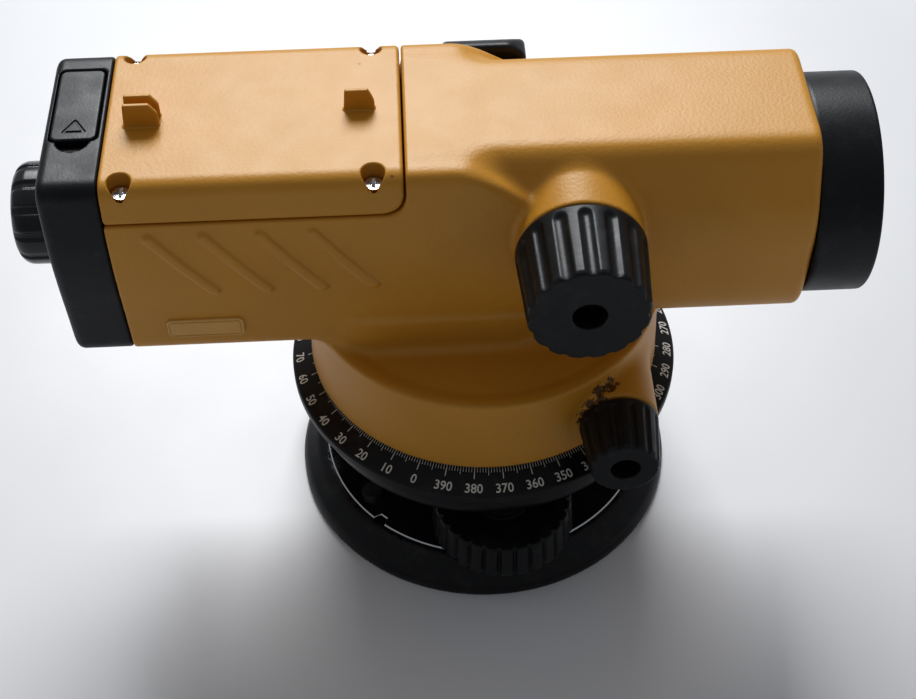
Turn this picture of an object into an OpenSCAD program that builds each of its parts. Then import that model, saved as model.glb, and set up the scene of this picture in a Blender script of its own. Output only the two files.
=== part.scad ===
// Automatic surveying level.
// +X runs along the telescope towards the objective, +Z is up,
// and the origin is the mouth of the tripod thread under the base plate.

/* [Telescope] */
// Height of the telescope axis above the base
axis_z = 103.3; // [100:0.1:108]
// Front end of the objective hood
hood_front_x = 96.3; // [92:0.1:104]
// Front face of the housing
housing_front_x = 80.5; // [78:0.1:84]
// Outer radius of the objective hood
hood_r = 28.15; // [27:0.05:28.5]
// Rear end of the housing, where the black cap starts
housing_rear_x = -91.7; // [-94:0.1:-90]
// Rear face of the black cap
cap_rear_x = -106.5; // [-108:0.1:-105]
// Rear end of the eyepiece knob
eyepiece_rear_x = -118.7; // [-122:0.1:-116]
// Radius of the eyepiece knob
eyepiece_knob_r = 13.2; // [12.5:0.1:14]
// Half width across the top of the rear section
rear_top_w = 25.4; // [24:0.1:26]
// Largest half width of the rear section
rear_wide_w = 28.8; // [28:0.1:29]
// Height of the flat top above the telescope axis
top_h = 30.5; // [30:0.1:31]
// Depth of the underside below the telescope axis
under_h = 28.3; // [28:0.1:29]

/* [Circle and base] */
// Outer radius of the graduated circle
circle_r = 53.9; // [53:0.1:55]
// Radius of the lip of the housing skirt
skirt_r = 48.2; // [47.5:0.1:48.6]
// Height of the lip of the housing skirt
skirt_z = 50.7; // [50.5:0.1:51.5]
// Radius of the base plate
base_r = 54.1; // [53:0.1:56]
// Radius of the spring plate
spring_plate_r = 46.5; // [46:0.1:47]
// Minor radius of the 5/8-11 tripod thread
tripod_thread_r = 6.9; // [6.8:0.05:7]

/* [Foot screws] */
// Distance of each foot screw from the vertical axis
foot_r = 37.3; // [37:0.1:38]
// Azimuth of the first foot screw
foot_azimuth = -84.8; // [-90:0.1:-80]
// Radius of a foot knob at its lower edge
foot_knob_r = 20; // [19:0.1:20.4]
// Number of ribs on a foot knob
foot_ribs = 28; // [20:1:34]

/* [Focus and fine motion] */
// Position of the focus axis along the telescope
focus_x = 21.8; // [21.5:0.1:23]
// Height of the focus axis
focus_z = 113; // [112.5:0.1:113.5]
// Radius of the focus knob at its back edge
focus_knob_r = 16.1; // [15.9:0.1:16.8]
// Number of flutes on the focus knob
focus_flutes = 16; // [12:1:20]
// Position of the fine motion shaft
fine_x = 33; // [32.8:0.1:33.4]
// Height of the fine motion shaft
fine_z = 60.2; // [60:0.1:60.6]
// Half of the width over both fine motion knobs
fine_half_w = 58; // [57:0.1:60]
// Number of flutes on a fine motion knob
fine_flutes = 14; // [10:1:18]
// Number of teeth on the worm wheel
worm_teeth = 60; // [48:1:72]

/* [Hidden] */

cut = 1;                 // how far a cutting shape runs past a face
fit_gap = 0.05;          // radial clearance of a running fit
free_gap = 0.4;          // clearance between parts that move past each other
round_fn = 96;           // segments of a large round
small_fn = 48;           // segments of a small round

top_z = axis_z + top_h;
cover_z = 123;           // lower edge of the cover plate
cover_front_x = -20.1;
cavity_floor_z = 78.5;
cavity_w = 21.5;         // half width of the rear cavity
cavity_rear_x = -88;
cavity_front_x = -12;
bore_r = 23;             // front cavity round the focusing tube
front_bore_r = 20;       // seat of the objective cell
front_seat_x = 62;
web_z = 70;              // underside of the web that carries the spindle
spring_plate_z = 9.6;
spring_plate_t = 0.6;
foot_knob_z = 12.5;
foot_knob_h = 11.5;
tribrach_z = 33;
tribrach_top_z = 41.5;
hub_r = 14;
hub_top_z = 66;
bush_r = 9;
spindle_r = 6;
focus_face_y = -53.8;
focus_back_y = -32;
focus_boss_y = -31.6;
focus_boss_r = 15.6;
fine_back_y = 42.4;
fine_boss_y = 42;
shaft_r = 2.5;
knob_hole = 7;           // depth of the blind hole in a knob's face
web_t = 1;
pinion_r = 1.9;
worm_r = 3.8;
wheel_r = fine_x - worm_r - free_gap;
tube_r = 17;
tube_bore_r = 15;
cell_x = 34;             // middle of the focusing cell at rest
screw_y = 23.4;          // cover screws, from the middle plane
well_r = 2.6;            // wells over the cover screws
post_r = 4.2;            // posts round the cover screws
cover_screw_x = [-86.6, -27.2];
vial_x = 2;
vial_y = 38;
pad_y = 29;              // flat pad for the circular vial
pendulum_x = -44;

// Half sections as [half width, height above the telescope axis], from the top down.
rear_section = [
    [rear_top_w, top_h], [rear_wide_w, 8.8], [25.8, -10.2], [24.3, -under_h]
];
front_round_r = 22;
front_round_y = 6;
front_section = concat(
    [[16.2, top_h], [18.4, top_h - 1.2], [19.8, top_h - 3.6], [28.5, 8.4], [28.6, 6]],
    [for (a = [-2, -16, -30, -44, -58, -72, -84])
        [front_round_y + front_round_r * cos(a), front_round_r * sin(a) - 6.3]]
);

function mirrored(half) = concat(
    half, [for (i = [len(half) - 1:-1:0]) [-half[i][0], half[i][1]]]
);
function inset(half, d) = [for (p = half) [p[0] - d, p[1] - d * sign(p[1])]];

// Runs a section given as [y, height above the axis] along X.
module along_x(x0, x1, half) {
    translate([x0, 0, axis_z]) rotate([90, 0, 90])
        linear_extrude(x1 - x0) polygon(mirrored(half));
}
module rod_x(x0, x1, r, fn = round_fn) {
    translate([x0, 0, axis_z]) rotate([0, 90, 0]) cylinder(h = x1 - x0, r = r, $fn = fn);
}
module rod_y(y0, y1, x, z, r, fn = small_fn) {
    translate([x, y1, z]) rotate([90, 0, 0]) cylinder(h = y1 - y0, r = r, $fn = fn);
}
module rod_z(z0, z1, x, y, r, fn = small_fn) {
    translate([x, y, z0]) cylinder(h = z1 - z0, r = r, $fn = fn);
}
module block(x0, x1, y0, y1, z0, z1) {
    translate([x0, y0, z0]) cube([x1 - x0, y1 - y0, z1 - z0]);
}
module at_feet() {
    for (i = [0:2]) rotate(foot_azimuth + 120 * i) translate([foot_r, 0, 0]) children();
}
module at_foot(i) {
    rotate(foot_azimuth + 120 * i) translate([foot_r, 0, 0]) children();
}
module at_cover_screws() {
    for (x = cover_screw_x, s = [-1, 1]) translate([x, s * screw_y, 0]) children();
}

// ---- Base ----

plate_screw_r = 41;
module at_plate_screws() {
    for (i = [0:2]) rotate(foot_azimuth + 60 + 120 * i) translate([plate_screw_r, 0, 0]) children();
}
ball_z = 6.2;
ball_r = 4;
insert_r = 12;

module base_plate() {
    color([0.1, 0.1, 0.11]) difference() {
        rotate_extrude($fn = round_fn) polygon([
            [0, 0], [base_r - 0.6, 0], [base_r, 0.6], [base_r, 3], [base_r - 1, 4.6],
            [base_r - 5.5, 9.2], [spring_plate_r + 0.2, 10], [spring_plate_r + 0.2, spring_plate_z],
            [0, spring_plate_z]
        ]);
        rod_z(-cut, spring_plate_z + cut, 0, 0, insert_r);
        at_feet() rod_z(ball_z - ball_r - free_gap, spring_plate_z + cut, 0, 0, ball_r + 0.9);
        at_plate_screws() rod_z(3, spring_plate_z + cut, 0, 0, 1.5);
    }
}
module thread_insert() {
    color([0.72, 0.6, 0.35]) difference() {
        rod_z(0, spring_plate_z, 0, 0, insert_r);
        rod_z(-cut, spring_plate_z + cut, 0, 0, tripod_thread_r);
    }
}
module spring_plate() {
    color([0.6, 0.61, 0.62]) difference() {
        rod_z(spring_plate_z, spring_plate_z + spring_plate_t, 0, 0, spring_plate_r, round_fn);
        rod_z(spring_plate_z - cut, spring_plate_z + cut + 1, 0, 0, 15);
        at_feet() rod_z(spring_plate_z - cut, spring_plate_z + cut + 1, 0, 0, 3.2);
        at_plate_screws() rod_z(spring_plate_z - cut, spring_plate_z + cut + 1, 0, 0, 1.5);
        rotate(-133) translate([spring_plate_r, 0, spring_plate_z - cut])
            cylinder(h = 3, r = 1.6, $fn = small_fn);
    }
}
module spring_plate_screws() {
    color([0.55, 0.56, 0.58]) at_plate_screws() {
        rod_z(spring_plate_z + spring_plate_t, spring_plate_z + spring_plate_t + 1.5, 0, 0, 2.8);
        rod_z(3, spring_plate_z + spring_plate_t, 0, 0, 1.5);
    }
}

// ---- Foot screws ----

screw_r = 3;
module foot_screw(i) {
    color([0.62, 0.63, 0.65]) at_foot(i) {
        translate([0, 0, ball_z]) sphere(r = ball_r, $fn = small_fn);
        rod_z(ball_z, foot_knob_z, 0, 0, 2.5);
        rod_z(foot_knob_z, 36, 0, 0, screw_r);
    }
}
module foot_knob(i) {
    rib_r = PI * foot_knob_r / foot_ribs * 0.42;
    color([0.13, 0.13, 0.14]) at_foot(i) difference() {
        union() {
            translate([0, 0, foot_knob_z])
                cylinder(h = foot_knob_h, r1 = foot_knob_r, r2 = foot_knob_r - 0.9, $fn = round_fn);
            rod_z(foot_knob_z + foot_knob_h, foot_knob_z + foot_knob_h + 1, 0, 0, 7);
        }
        for (k = [0:foot_ribs - 1]) rotate(360 / foot_ribs * (k + 0.5))
            rod_z(foot_knob_z - cut, foot_knob_z + foot_knob_h + 0.5, foot_knob_r + 0.5, 0, rib_r, 16);
        difference() {
            rod_z(foot_knob_z + foot_knob_h - 1.2, foot_knob_z + foot_knob_h + 2, 0, 0, 14.5);
            rod_z(0, 40, 0, 0, 7);
        }
        rod_z(foot_knob_z - cut, 40, 0, 0, screw_r);
        rod_z(foot_knob_z - cut, foot_knob_z + 4, 0, 0, 6);
    }
    color([0.13, 0.13, 0.14]) at_foot(i) difference() {
        rod_z(foot_knob_z, foot_knob_z + 4, 0, 0, 6);
        rod_z(foot_knob_z - cut, foot_knob_z + 5, 0, 0, screw_r);
    }
}

// ---- Tribrach ----

foot_boss_z = 27.5;
module tribrach_plate() {
    color([0.12, 0.12, 0.13]) difference() {
        union() {
            rotate_extrude($fn = round_fn) polygon([
                [0, tribrach_z + 4.5], [46.5, tribrach_z + 4.5], [46.5, tribrach_z], [49.6, tribrach_z],
                [51, tribrach_z + 3], [51, tribrach_top_z], [0, tribrach_top_z]
            ]);
            at_feet() rod_z(foot_boss_z, tribrach_z + 5, 0, 0, 9);
            rod_z(tribrach_z, hub_top_z, 0, 0, hub_r, round_fn);
        }
        rod_z(0, hub_top_z + cut, 0, 0, bush_r);
        at_feet() rod_z(foot_boss_z - cut, tribrach_top_z - 1, 0, 0, 5);
    }
}
module foot_screw_bushes() {
    color([0.72, 0.58, 0.32]) at_feet() difference() {
        rod_z(foot_boss_z, tribrach_top_z - 1, 0, 0, 5);
        rod_z(foot_boss_z - cut, tribrach_top_z, 0, 0, screw_r + fit_gap);
    }
}
module axis_bush() {
    color([0.72, 0.58, 0.32]) difference() {
        rod_z(tribrach_z, hub_top_z, 0, 0, bush_r);
        rod_z(tribrach_z - cut, hub_top_z + cut, 0, 0, spindle_r + fit_gap);
    }
}

// ---- Graduated circle ----

module horizontal_circle() {
    color([0.09, 0.09, 0.1]) rotate_extrude($fn = round_fn) polygon([
        [hub_r + fit_gap, 42.2], [40, 42.2], [44, 42.6], [circle_r - 0.6, 42.6], [circle_r, 43.2],
        [circle_r, 45.4], [circle_r - 0.5, 46], [skirt_r, 48.1], [44, 49.8],
        [43, 49.8], [42, 45], [17, 45], [17, 50], [hub_r + fit_gap, 50]
    ]);
}

// ---- Housing ----

// Outline of the drum under the telescope, as [radius, height].
shoulder_r = 47.2;
shoulder_z = 74;
dish_z = 73;
drum_outline = [
    [0, skirt_z], [skirt_r - 0.4, skirt_z], [skirt_r, skirt_z + 0.5], [shoulder_r, shoulder_z - 1.2],
    [shoulder_r - 0.4, shoulder_z - 0.3], [shoulder_r - 1.2, shoulder_z], [shoulder_r - 2.5, shoulder_z - 0.2],
    [40, dish_z], [0, dish_z]
];
neck_r = 40;
neck_w = 23.5;           // half width of the neck between the drum and the telescope
// The wide rear section ends in a ramp that slopes down towards the front, on top of the front section.
// Below the widest line the two sections blend.
ramp_x = -4;             // where the ramp leaves the flat top
ramp_slope = 0.65;       // fall of the ramp per unit of length
rear_end_x = -5.5;
blend_end_x = 9;
widest_z = axis_z + 6;
module ramp() {
    ramp_end_x = ramp_x + (top_z - widest_z) / ramp_slope;
    intersection() {
        along_x(rear_end_x, ramp_end_x, rear_section);
        translate([0, 40, 0]) rotate([90, 0, 0]) linear_extrude(80)
            polygon([[rear_end_x, widest_z], [ramp_end_x, widest_z], [ramp_x, top_z], [rear_end_x, top_z]]);
    }
}
module blend_below() {
    intersection() {
        hull() {
            along_x(rear_end_x - 0.5, rear_end_x, rear_section);
            along_x(blend_end_x, blend_end_x + 0.5, front_section);
        }
        block(rear_end_x - cut, blend_end_x + cut, -40, 40, 60, widest_z + 2);
    }
}
module rib(x_top, x_bottom) {
    z_top = 118.5;
    z_bottom = 100;
    half_w = 1.3;
    run = x_bottom - x_top;
    drop = z_top - z_bottom;
    for (s = [-1, 1]) translate([x_top, s > 0 ? 29.4 : -27, z_top]) rotate([90, 0, 0])
        linear_extrude(2.4) {
            circle(r = half_w, $fn = 24);
            translate([run, -drop]) circle(r = half_w, $fn = 24);
            rotate(atan2(-drop, run)) translate([0, -half_w])
                square([sqrt(run * run + drop * drop), 2 * half_w]);
        }
}
rib_tops = [-81.6, -68.4, -54.9, -42.2];
rib_run = 13.6;

module housing_outside() {
    along_x(housing_rear_x, rear_end_x, rear_section);
    ramp();
    blend_below();
    along_x(blend_end_x, housing_front_x, front_section);
    intersection() {
        along_x(rear_end_x, blend_end_x, front_section);
        block(rear_end_x, blend_end_x, -40, 40, widest_z, top_z);
    }
    rotate_extrude($fn = round_fn) polygon(drum_outline);
    intersection() {
        rod_z(dish_z - cut, 76, 0, 0, neck_r, round_fn);
        block(-neck_r, neck_r, -neck_w, neck_w, dish_z - cut, 76);
    }
    intersection() {
        rod_y(-fine_boss_y, fine_boss_y, fine_x, fine_z, 10.4, round_fn);
        block(fine_x - 12, fine_x + 12, -50, 50, skirt_z, shoulder_z);
    }
    rod_y(focus_boss_y, -10, focus_x, focus_z, focus_boss_r, round_fn);
    block(vial_x - 10, vial_x + 10, 20, pad_y, 86, 124);
    for (x = rib_tops) rib(x, x + rib_run);
}
module housing_hollow() {
    block(cavity_rear_x, cavity_front_x, -cavity_w, cavity_w, cavity_floor_z, cover_z + cut);
    rod_x(cavity_front_x - cut, front_seat_x, bore_r);
    rod_x(front_seat_x - cut, housing_front_x + cut, front_bore_r);
    rod_x(housing_rear_x - cut, cavity_rear_x + cut, 11);
    rod_z(skirt_z - cut, 66, 0, 0, 42, round_fn);
    rod_z(65, web_z, 0, 0, 40, round_fn);
    for (s = [-1, 1]) rod_y(min(s * 20, s * 50), max(s * 20, s * 50), fine_x, fine_z, 5);
    rod_y(focus_boss_y - cut, -15, focus_x, focus_z, 5);
    at_spindle_screws() rod_z(web_z - cut, spindle_screw_z, 0, 0, 1.5);
}
module cover_space(gap) {
    block(housing_rear_x - cut, cover_front_x + gap, -40, 40, cover_z, top_z + cut);
}
module housing() {
    color([0.79, 0.56, 0.25]) difference() {
        union() {
            difference() {
                housing_outside();
                housing_hollow();
                cover_space(free_gap);
            }
            intersection() {
                along_x(housing_rear_x, rear_end_x, rear_section);
                at_cover_screws() rod_z(105, cover_z, 0, 0, post_r);
            }
        }
        at_cover_screws() rod_z(110, cover_z + cut, 0, 0, 1.5);
    }
}
module sight_prong(x0, x1, y0, y1, h) {
    translate([0, y1, top_z]) rotate([90, 0, 0]) linear_extrude(y1 - y0)
        polygon([[x0, 0], [x1, 0], [x1 - 1.6, h], [x0 + 0.6, h]]);
}
sight_h = 6.8;
cover_head_z = 127.9;
cover_head_r = 2.2;
module cover_plate() {
    color([0.8, 0.57, 0.26]) difference() {
        union() {
            intersection() {
                along_x(housing_rear_x, cover_front_x, rear_section);
                cover_space(0);
            }
            for (y = [-4.6, -1.2]) sight_prong(-87, -78.3, y, y + 2, sight_h);
            sight_prong(-34, -26.6, -1.2, 0.8, sight_h);
        }
        difference() {
            block(cavity_rear_x, cover_front_x - 4, -cavity_w, cavity_w, cover_z - cut, top_z - 3);
            at_cover_screws() rod_z(cover_z, top_z, 0, 0, post_r);
        }
        at_cover_screws() {
            rod_z(cover_head_z, top_z + cut, 0, 0, well_r);
            rod_z(cover_z - cut, cover_head_z + cut, 0, 0, 1.6);
        }
    }
}
module cover_screws() {
    color([0.7, 0.7, 0.7]) at_cover_screws() difference() {
        union() {
            rod_z(cover_head_z, cover_head_z + 2, 0, 0, cover_head_r);
            rod_z(110, cover_head_z, 0, 0, 1.5);
        }
        for (a = [0, 90]) rotate(a) translate([0, 0, cover_head_z + 1.6]) cube([3.4, 0.8, 1.6], center = true);
    }
}
module label_plate() {
    wall_tilt = 4.7;
    color([0.78, 0.55, 0.25]) translate([-72, -25.25, 85.1]) rotate([wall_tilt, 0, 0]) difference() {
        translate([-9.8, -0.8, -3.4]) cube([19.6, 0.8, 6.8]);
        translate([-9, -1.2, -2.6]) cube([18, 0.8, 5.2]);
    }
}

// ---- Rear cap and eyepiece ----

lid_x = [-104.6, -93.4];
lid_y = [-8, 18.5];
lid_t = 2.4;
module lid_outline(gap, x = lid_x, y = lid_y) {
    corner_r = 2;
    x0 = x[0] - gap;
    x1 = x[1] + gap;
    y0 = y[0] - gap;
    y1 = y[1] + gap;
    translate([x0 + corner_r, y0]) square([x1 - x0 - 2 * corner_r, y1 - y0]);
    translate([x0, y0 + corner_r]) square([x1 - x0, y1 - y0 - 2 * corner_r]);
    for (cx = [x0 + corner_r, x1 - corner_r], cy = [y0 + corner_r, y1 - corner_r])
        translate([cx, cy]) circle(r = corner_r, $fn = 32);
}
module rear_cap() {
    color([0.12, 0.12, 0.13]) difference() {
        union() {
            difference() {
                union() {
                    along_x(cap_rear_x + 1.6, housing_rear_x, inset(rear_section, 0.2));
                    along_x(cap_rear_x, cap_rear_x + 1.6, inset(rear_section, 1.6));
                }
                block(cap_rear_x + 3, housing_rear_x + cut, -20, 20, cavity_floor_z + 1, 126);
            }
            rod_x(cap_rear_x + 2, housing_rear_x, 14);
        }
        rod_x(cap_rear_x - cut, housing_rear_x + cut, 11);
        translate([0, 0, top_z - lid_t - 0.4]) linear_extrude(lid_t + 2) lid_outline(0.35);
        translate([0, 0, 125]) linear_extrude(10)
            lid_outline(0, [lid_x[0] + 2, lid_x[1] - 2], [lid_y[0] + 2, lid_y[1] - 2]);
        rod_z(top_z - 2.2, top_z + cut, -99, lid_y[0], 4);
        rod_z(axis_z + 9, axis_z + 20, reticle_x, 0, 1.5);
    }
}
module reticle_cover() {
    color([0.11, 0.11, 0.12]) difference() {
        translate([0, 0, top_z - lid_t]) linear_extrude(lid_t) lid_outline(0);
        for (s = [0:2]) translate([-99, 8.6, 0]) rotate(120 * s) translate([0, -1.5, top_z])
            cube([5.2, 0.5, 0.5], center = true);
    }
}
reticle_x = -97;
module reticle_ring() {
    color([0.72, 0.58, 0.32]) difference() {
        rod_x(reticle_x - 2.5, reticle_x + 2.5, 11);
        rod_x(reticle_x - 3, reticle_x + 3, 7);
    }
}
module reticle_glass() {
    color([0.75, 0.85, 0.88]) rod_x(reticle_x - 0.8, reticle_x + 0.8, 7);
}
module reticle_screw() {
    color([0.6, 0.61, 0.63]) difference() {
        union() {
            rod_z(axis_z + 11, axis_z + 20, reticle_x, 0, 1.5);
            rod_z(axis_z + 20, axis_z + 22, reticle_x, 0, 2.6);
        }
        block(reticle_x - 3, reticle_x + 3, -0.4, 0.4, axis_z + 21, axis_z + 23);
    }
}
cell_r = 9;
module eyepiece_sleeve() {
    color([0.3, 0.3, 0.32]) difference() {
        rod_x(cap_rear_x, reticle_x - 3, 11);
        rod_x(cap_rear_x - cut, reticle_x - 2, cell_r + fit_gap);
    }
}
module eyepiece_cell() {
    color([0.14, 0.14, 0.15]) difference() {
        rod_x(-116, -101, cell_r);
        rod_x(-117, -100, 7.5);
    }
}
module eyepiece_lens() {
    color([0.75, 0.85, 0.88]) union() {
        rod_x(-114.5, -111, 7.5);
        rod_x(-107, -104, 7.5);
    }
}
module eyepiece_knob() {
    flutes = 24;
    color([0.1, 0.1, 0.11]) difference() {
        translate([0, 0, axis_z]) rotate([0, -90, 0]) rotate_extrude($fn = round_fn) polygon([
            [6, 118.7], [6.6, -eyepiece_rear_x], [eyepiece_knob_r - 3.2, -eyepiece_rear_x],
            [eyepiece_knob_r - 1, -eyepiece_rear_x - 1], [eyepiece_knob_r, -eyepiece_rear_x - 3.2],
            [eyepiece_knob_r, -cap_rear_x + free_gap], [cell_r + fit_gap, -cap_rear_x + free_gap],
            [cell_r + fit_gap, 116.2], [6, 116.2]
        ]);
        for (k = [0:flutes - 1]) translate([0, 0, axis_z]) rotate([360 / flutes * k, 0, 0])
            translate([-116, 0, eyepiece_knob_r + 0.25]) rotate([0, 90, 0]) cylinder(h = 8, r = 0.7, $fn = 16);
    }
}

// ---- Objective and focusing ----

module objective_hood() {
    color([0.12, 0.12, 0.13]) translate([0, 0, axis_z]) rotate([0, 90, 0])
        rotate_extrude($fn = round_fn) polygon([
            [21, housing_front_x], [hood_r - 0.5, housing_front_x], [hood_r, housing_front_x + 0.5],
            [hood_r, hood_front_x - 1], [hood_r - 1, hood_front_x], [hood_r - 2, hood_front_x],
            [hood_r - 2.6, hood_front_x - 0.6], [hood_r - 3, housing_front_x + 3],
            [21, housing_front_x + 3]
        ]);
}
module objective_cell() {
    color([0.25, 0.25, 0.27]) difference() {
        union() {
            rod_x(front_seat_x + 3, housing_front_x + 1.5, front_bore_r);
            rod_x(housing_front_x, housing_front_x + 3, 21);
        }
        rod_x(front_seat_x, housing_front_x + 4, 16);
        rod_x(front_seat_x + 5, housing_front_x - 1, 17.5);
    }
}
module objective_lens() {
    color([0.7, 0.82, 0.86]) rod_x(front_seat_x + 8, housing_front_x - 1.5, 17.5);
}
slot_z = 104;
module focus_tube() {
    color([0.55, 0.56, 0.58]) difference() {
        union() {
            rod_x(-4, front_seat_x, tube_r);
            rod_x(front_seat_x, front_seat_x + 3, front_bore_r);
            rod_x(front_seat_x - 4, front_seat_x, bore_r);
            rod_x(-4, -1, bore_r);
        }
        rod_x(-5, front_seat_x + 4, tube_bore_r + fit_gap);
        block(-5, 56, -24, -10, slot_z - 1, slot_z + 12);
    }
}
module focus_bush() {
    color([0.72, 0.58, 0.32]) difference() {
        rod_y(focus_boss_y, -20.8, focus_x, focus_z, 5);
        rod_y(focus_boss_y - cut, -20, focus_x, focus_z, shaft_r + fit_gap);
    }
}
rack_top_z = focus_z - pinion_r - free_gap;
module focus_cell() {
    color([0.3, 0.3, 0.32]) difference() {
        union() {
            rod_x(cell_x - 8, cell_x + 8, tube_bore_r);
            block(cell_x - 21, cell_x + 8, -19.8, -16, slot_z, rack_top_z);
            block(cell_x - 8, cell_x + 8, -17, -13.5, slot_z, rack_top_z);
        }
        rod_x(cell_x - 9, cell_x + 9, 12);
        for (k = [0:27]) translate([cell_x - 20.5 + k, -20, rack_top_z])
            rotate([0, 45, 0]) cube([0.6, 8, 0.6], center = true);
    }
}
module focus_lens() {
    color([0.75, 0.85, 0.88]) rod_x(cell_x - 3, cell_x + 3, 12);
}
module focus_shaft() {
    color([0.62, 0.63, 0.65]) difference() {
        union() {
            rod_y(focus_face_y + knob_hole + web_t, -20.6, focus_x, focus_z, shaft_r);
            rod_y(-20.6, -17.2, focus_x, focus_z, pinion_r);
        }
        for (k = [0:9]) translate([focus_x, -18, focus_z]) rotate([0, 36 * k, 0])
            translate([0, 0, pinion_r]) cube([0.5, 4, 0.9], center = true);
    }
}
// A fluted knob with its axis along -Y, its back face at y = 0 and its front at y = -length.
// The hole in the front is blind: a web parts it from the bore for the shaft.
module fluted_knob(length, back_r, front_r, flutes, flute_r, flute_start, hole_r, hole_depth) {
    difference() {
        rotate([90, 0, 0]) cylinder(h = length, r1 = back_r, r2 = front_r, $fn = round_fn);
        for (k = [0:flutes - 1]) rotate([0, 360 / flutes * k, 0])
            translate([0, -flute_start, (back_r + front_r) / 2 + 0.3])
                rotate([90, 0, 0]) cylinder(h = length, r = flute_r, $fn = 24);
        rotate([90, 0, 0]) translate([0, 0, length - hole_depth])
            cylinder(h = hole_depth + cut, r = hole_r, $fn = small_fn);
        rotate([90, 0, 0]) translate([0, 0, -cut])
            cylinder(h = length - hole_depth - web_t + cut, r = shaft_r, $fn = small_fn);
    }
}
module focus_knob() {
    color([0.12, 0.12, 0.13]) translate([focus_x, focus_back_y, focus_z])
        fluted_knob(focus_back_y - focus_face_y, focus_knob_r, 14.7, focus_flutes, 1.7, 3.4, 4.1, knob_hole);
}

// ---- Spindle, worm and worm wheel ----

spindle_screw_r = 9.5;
flange_z = hub_top_z + 0.6;
spindle_screw_z = 75;
module at_spindle_screws() {
    for (i = [0:2]) rotate(120 * i) translate([spindle_screw_r, 0, 0]) children();
}
module spindle() {
    color([0.6, 0.61, 0.63]) difference() {
        union() {
            rod_z(29, flange_z, 0, 0, spindle_r);
            rod_z(flange_z, web_z, 0, 0, 13);
        }
        at_spindle_screws() {
            rod_z(flange_z - cut, flange_z + 1.4, 0, 0, 2.6);
            rod_z(flange_z, web_z + cut, 0, 0, 1.5);
        }
    }
}
module spindle_screws() {
    color([0.55, 0.56, 0.58]) at_spindle_screws() {
        rod_z(flange_z, flange_z + 1.4, 0, 0, 2.6);
        rod_z(flange_z + 1.4, spindle_screw_z, 0, 0, 1.5);
    }
}
module spindle_nut() {
    color([0.5, 0.51, 0.53]) difference() {
        rod_z(29, tribrach_z - free_gap, 0, 0, 9.5, 6);
        rod_z(28, tribrach_z, 0, 0, spindle_r);
    }
}
module worm_bushes() {
    color([0.72, 0.58, 0.32]) for (s = [-1, 1]) difference() {
        rod_y(min(s * fine_boss_y, s * 34), max(s * fine_boss_y, s * 34), fine_x, fine_z, 5);
        rod_y(-50, 50, fine_x, fine_z, shaft_r + fit_gap);
    }
}
module worm() {
    thread_half = 7;
    pitch = 2;
    color([0.62, 0.63, 0.65]) difference() {
        union() {
            rod_y(knob_hole + web_t - fine_half_w, fine_half_w - knob_hole - web_t, fine_x, fine_z, shaft_r);
            rod_y(-thread_half, thread_half, fine_x, fine_z, worm_r);
        }
        for (k = [0:6]) translate([fine_x, -6 + k * pitch, fine_z]) rotate([90, 0, 0]) difference() {
            cylinder(h = 0.9, r = worm_r + 1, center = true, $fn = small_fn);
            cylinder(h = 2, r = worm_r - 0.9, center = true, $fn = small_fn);
        }
    }
}
module fine_knob() {
    fluted_knob(fine_half_w - fine_back_y, 10.4, 8.9, fine_flutes, 1.1, 2.4, 3.8, knob_hole);
}
module fine_knob_near() {
    color([0.12, 0.12, 0.13]) translate([fine_x, -fine_back_y, fine_z]) fine_knob();
}
module fine_knob_far() {
    color([0.12, 0.12, 0.13]) translate([fine_x, fine_back_y, fine_z]) mirror([0, 1, 0]) fine_knob();
}
module worm_wheel() {
    tooth_h = 0.9;
    step = 360 / worm_teeth;
    color([0.74, 0.6, 0.34]) translate([0, 0, fine_z - 1.8]) linear_extrude(3.6) difference() {
        polygon([for (k = [0:worm_teeth - 1], p = [[-0.3, -tooth_h], [-0.14, 0], [0.14, 0], [0.3, -tooth_h]])
            (wheel_r + p[1]) * [cos(step * (k + p[0])), sin(step * (k + p[0]))]]);
        circle(r = hub_r + fit_gap, $fn = round_fn);
    }
}

// ---- Compensator ----

frame_floor_t = 3;
prism_gap = 1;           // swing room in front of and behind the pendulum
pendulum_half = 10;
pedestal_l = 14;
beam_z = 94;
module compensator_frame() {
    floor_z = cavity_floor_z + frame_floor_t;
    reach = pendulum_half + prism_gap + pedestal_l;
    color([0.5, 0.51, 0.53]) {
        block(pendulum_x - reach, pendulum_x + reach, -18, 18, cavity_floor_z, floor_z);
        for (s = [-1, 1]) {
            block(pendulum_x - 8, pendulum_x + 8, s > 0 ? 15 : -18, s > 0 ? 18 : -15, floor_z, 122);
            translate([pendulum_x + s * (pendulum_half + prism_gap + pedestal_l / 2), 0, floor_z])
                translate([-pedestal_l / 2, -9, 0]) cube([pedestal_l, 18, beam_z - floor_z]);
        }
        block(pendulum_x - 2, pendulum_x + 2, -15, 15, 119, 122);
    }
}
module suspension_tapes() {
    color([0.7, 0.7, 0.72]) for (x = [-1.8, 1.6], y = [-9, 6])
        block(pendulum_x + x, pendulum_x + x + 0.2, y, y + 3, 114.4, 119);
}
module fixed_prisms() {
    color([0.72, 0.84, 0.88]) for (s = [-1, 1])
        translate([pendulum_x + s * (pendulum_half + prism_gap), 9, beam_z]) rotate([90, 0, 0])
            linear_extrude(18) polygon([[0, 0], [s * pedestal_l, 0], [s * pedestal_l, 18], [s * 4, 18]]);
}
module damper_magnets() {
    color([0.35, 0.35, 0.37]) for (s = [-1, 1])
        block(pendulum_x - 5, pendulum_x + 5, s > 0 ? 1.4 : -5, s > 0 ? 5 : -1.4,
            cavity_floor_z + frame_floor_t, 87);
}
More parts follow.
